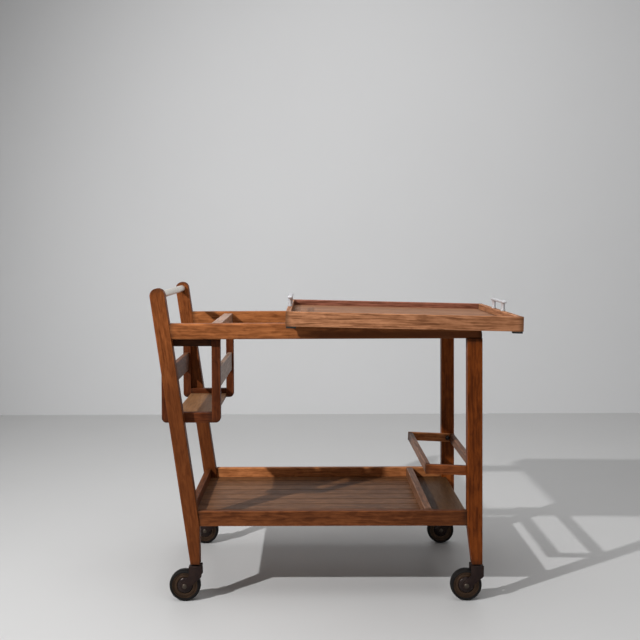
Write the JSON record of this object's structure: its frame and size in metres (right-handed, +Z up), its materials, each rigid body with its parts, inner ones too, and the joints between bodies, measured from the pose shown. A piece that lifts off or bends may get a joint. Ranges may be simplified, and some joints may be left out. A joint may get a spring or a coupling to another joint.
{
  "type": "bar cart",
  "caption": "Wooden bar cart on swivelling casters, with slanted handle posts, a lift-off tray, a hanging bottle rack, a lower shelf and a tipping bottle guard.",
  "frame": {"origin": "on the floor, under the middle of the overall box", "axes": "+X from the handle end to the tray end, +Y from the near side to the far side, +Z up"},
  "size_m": [0.8915, 0.517, 0.76],
  "materials": {
    "frame_wood": "satin oiled reddish-brown wood, grain along each member",
    "tray_wood": "satin reddish-brown wood with a streaked grain",
    "shelf_wood": "satin varnished wood, grain along the boards",
    "dowel": "plain turned hardwood",
    "handle_tube": "fine brushed, pale",
    "tray_handle": "polished",
    "screw": "blackened steel",
    "pad": "matt",
    "socket": "dark bronze paint",
    "fork": "dark bronze paint",
    "axle": "dark bronze paint",
    "wheel_core": "bronze-brown, half gloss",
    "tyre": "matt near-black rubber"
  },
  "bodies": {
    "cart_frame": {"near_left_leg": "frame_wood", "near_right_leg": "frame_wood", "far_left_leg": "frame_wood", "far_right_leg": "frame_wood", "near_top_rail": "frame_wood", "far_top_rail": "frame_wood", "top_cross_bar": "frame_wood", "top_end_bar": "frame_wood", "handle_tube": "handle_tube", "near_shelf_rail": "frame_wood", "far_shelf_rail": "frame_wood", "shelf_end_rail": "frame_wood", "shelf_divider": "frame_wood", "shelf_boards": "shelf_wood", "bay_floor": "shelf_wood", "shelf_bearers": "shelf_wood", "guard_pivot_screws": "screw", "rack_near_left_post": "frame_wood", "rack_near_right_post": "frame_wood", "rack_far_left_post": "frame_wood", "rack_far_right_post": "frame_wood", "rack_near_top_rail": "frame_wood", "rack_near_bottom_rail": "frame_wood", "rack_far_top_rail": "frame_wood", "rack_far_bottom_rail": "frame_wood", "rack_board": "frame_wood", "rack_left_slat": "frame_wood", "rack_right_slat": "frame_wood", "rack_screws": "screw", "caster_sockets": "socket", "frame_dowels": "dowel"},
    "bottle_guard": {"near_guard_rail": "frame_wood", "far_guard_rail": "frame_wood", "left_guard_rail": "frame_wood", "right_guard_rail": "frame_wood"},
    "tray": {"tray_near_side": "tray_wood", "tray_far_side": "tray_wood", "tray_left_end": "tray_wood", "tray_right_end": "tray_wood", "tray_left_handle": "tray_handle", "tray_right_handle": "tray_handle", "tray_floor": "tray_wood", "tray_pads": "pad"},
    "near_left_swivel": {"near_left_fork": "fork", "near_left_axle": "axle"},
    "near_left_wheel": {"near_left_wheel_core": "wheel_core", "near_left_tyre": "tyre"},
    "near_right_swivel": {"near_right_fork": "fork", "near_right_axle": "axle"},
    "near_right_wheel": {"near_right_wheel_core": "wheel_core", "near_right_tyre": "tyre"},
    "far_left_swivel": {"far_left_fork": "fork", "far_left_axle": "axle"},
    "far_left_wheel": {"far_left_wheel_core": "wheel_core", "far_left_tyre": "tyre"},
    "far_right_swivel": {"far_right_fork": "fork", "far_right_axle": "axle"},
    "far_right_wheel": {"far_right_wheel_core": "wheel_core", "far_right_tyre": "tyre"}
  },
  "joints": [
    {"name": "guard_tip", "type": "hinge", "parent": "cart_frame", "child": "bottle_guard", "pos_m": [0.3339, 0, 0.3098], "axis": [0, 1, 0], "range_deg": [-2.5, 90]},
    {"name": "tray_lift", "type": "slide", "parent": "cart_frame", "child": "tray", "axis": [0, 0, 1], "range_m": [0, 0.12]},
    {"name": "near_left_swivel_turn", "type": "hinge", "parent": "cart_frame", "child": "near_left_swivel", "pos_m": [-0.33985, -0.2115, 0.09], "axis": [0, 0, 1], "continuous": true},
    {"name": "near_left_wheel_spin", "type": "hinge", "parent": "near_left_swivel", "child": "near_left_wheel", "pos_m": [-0.36585, -0.2115, 0.038], "axis": [0, 1, 0], "continuous": true},
    {"name": "near_right_swivel_turn", "type": "hinge", "parent": "cart_frame", "child": "near_right_swivel", "pos_m": [0.3424, -0.2115, 0.09], "axis": [0, 0, 1], "continuous": true},
    {"name": "near_right_wheel_spin", "type": "hinge", "parent": "near_right_swivel", "child": "near_right_wheel", "pos_m": [0.3164, -0.2115, 0.038], "axis": [0, 1, 0], "continuous": true},
    {"name": "far_left_swivel_turn", "type": "hinge", "parent": "cart_frame", "child": "far_left_swivel", "pos_m": [-0.33985, 0.2115, 0.09], "axis": [0, 0, 1], "continuous": true},
    {"name": "far_left_wheel_spin", "type": "hinge", "parent": "far_left_swivel", "child": "far_left_wheel", "pos_m": [-0.36585, 0.2115, 0.038], "axis": [0, 1, 0], "continuous": true},
    {"name": "far_right_swivel_turn", "type": "hinge", "parent": "cart_frame", "child": "far_right_swivel", "pos_m": [0.3424, 0.2115, 0.09], "axis": [0, 0, 1], "continuous": true},
    {"name": "far_right_wheel_spin", "type": "hinge", "parent": "far_right_swivel", "child": "far_right_wheel", "pos_m": [0.3164, 0.2115, 0.038], "axis": [0, 1, 0], "continuous": true}
  ]
}
